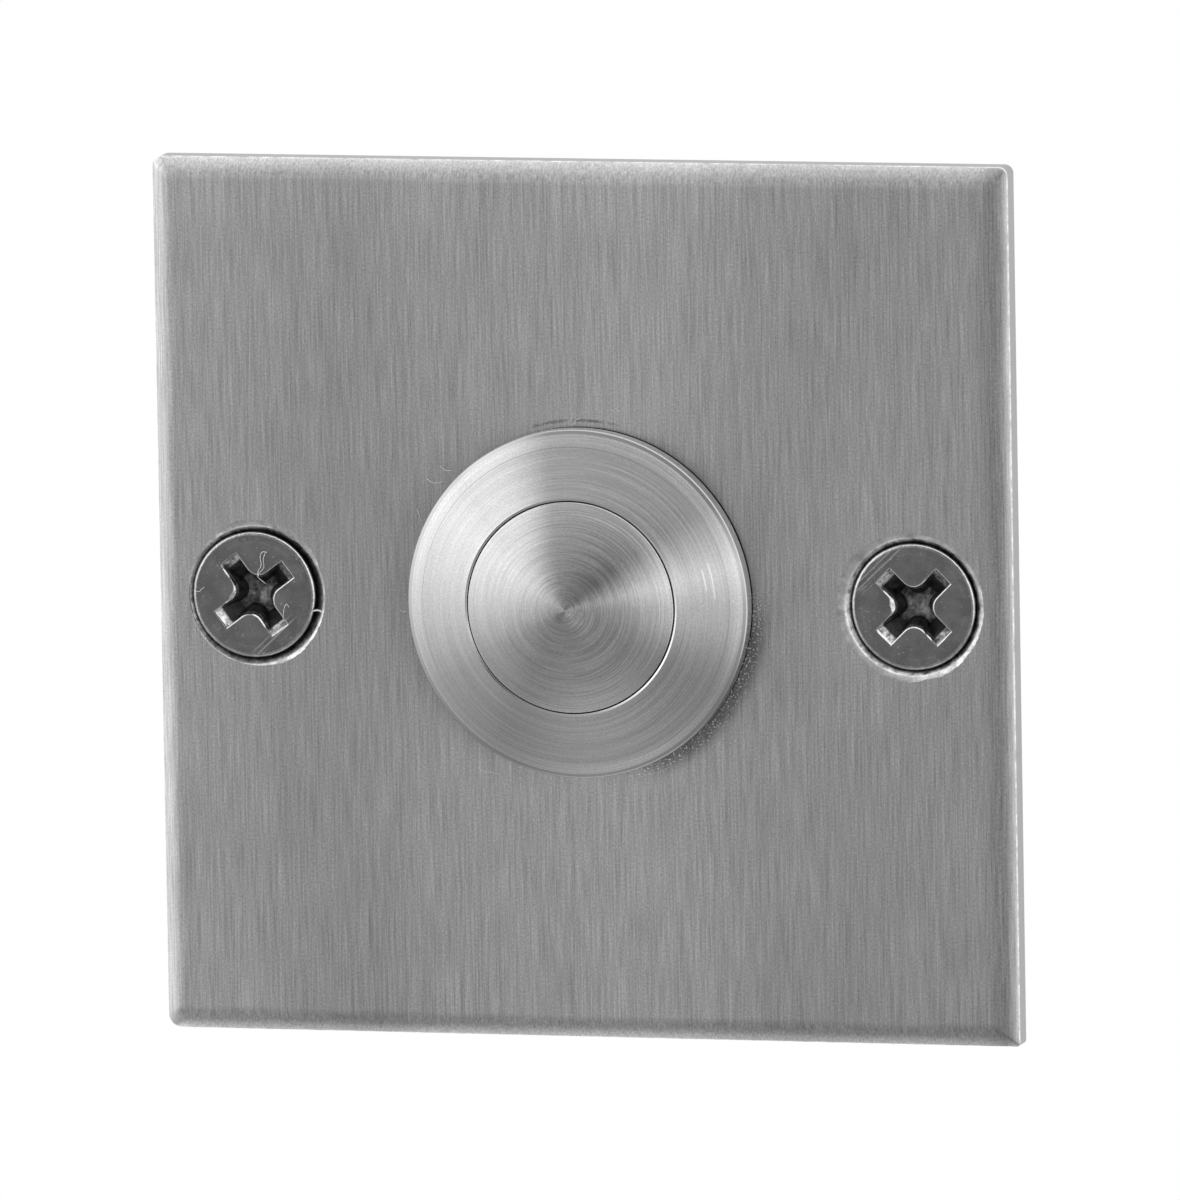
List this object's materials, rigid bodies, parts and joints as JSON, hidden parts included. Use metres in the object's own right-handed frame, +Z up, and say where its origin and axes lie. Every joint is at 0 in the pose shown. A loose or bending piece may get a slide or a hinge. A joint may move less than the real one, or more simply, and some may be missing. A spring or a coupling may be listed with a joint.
{
  "type": "doorbell push button",
  "caption": "Square brushed steel doorbell push button with a turned conical bezel, a domed push cap and two countersunk fixing screws.",
  "frame": {"origin": "centre of the face plate's back face", "axes": "+X right and +Z up as seen from the front, front faces -Y, wall at +Y"},
  "size_m": [0.05, 0.0292, 0.05],
  "materials": {
    "brushed_plate": "brushed",
    "turned_steel": "turned",
    "turned_cap": "turned",
    "gasket_rubber": "matte",
    "seal_rubber": "matte",
    "spring_steel": "drawn",
    "guide_plastic": "moulded",
    "plunger_plastic": "moulded",
    "contact_bronze": "rolled",
    "base_plastic": "moulded",
    "ring_steel": "oiled",
    "washer_steel": "stamped",
    "nut_steel": "machined",
    "terminal_brass": "rolled",
    "clamp_steel": "plated",
    "terminal_screw_steel": "plated",
    "screw_steel": "polished"
  },
  "bodies": {
    "mounted": {"face_plate": "brushed_plate", "button_housing": "turned_steel", "flange_gasket": "gasket_rubber", "return_spring": "spring_steel", "guide_plate": "guide_plastic", "switch_base": "base_plastic", "retaining_ring": "ring_steel", "lock_washer": "washer_steel", "mounting_nut": "nut_steel", "terminal_left": "terminal_brass", "terminal_right": "terminal_brass", "wire_clamp_left": "clamp_steel", "wire_clamp_right": "clamp_steel", "terminal_screw_left": "terminal_screw_steel", "terminal_screw_right": "terminal_screw_steel", "mounting_screw_left": "screw_steel", "mounting_screw_right": "screw_steel"},
    "button": {"push_cap": "turned_cap", "cap_seal": "seal_rubber", "plunger": "plunger_plastic", "contact_bridge": "contact_bronze"}
  },
  "joints": [
    {"name": "button_press", "type": "slide", "parent": "mounted", "child": "button", "axis": [0, 1, 0], "range_m": [0, 0.0012], "stiffness_N_per_m": 1000, "springref_m": -0.002, "deforming": ["return_spring"]}
  ]
}
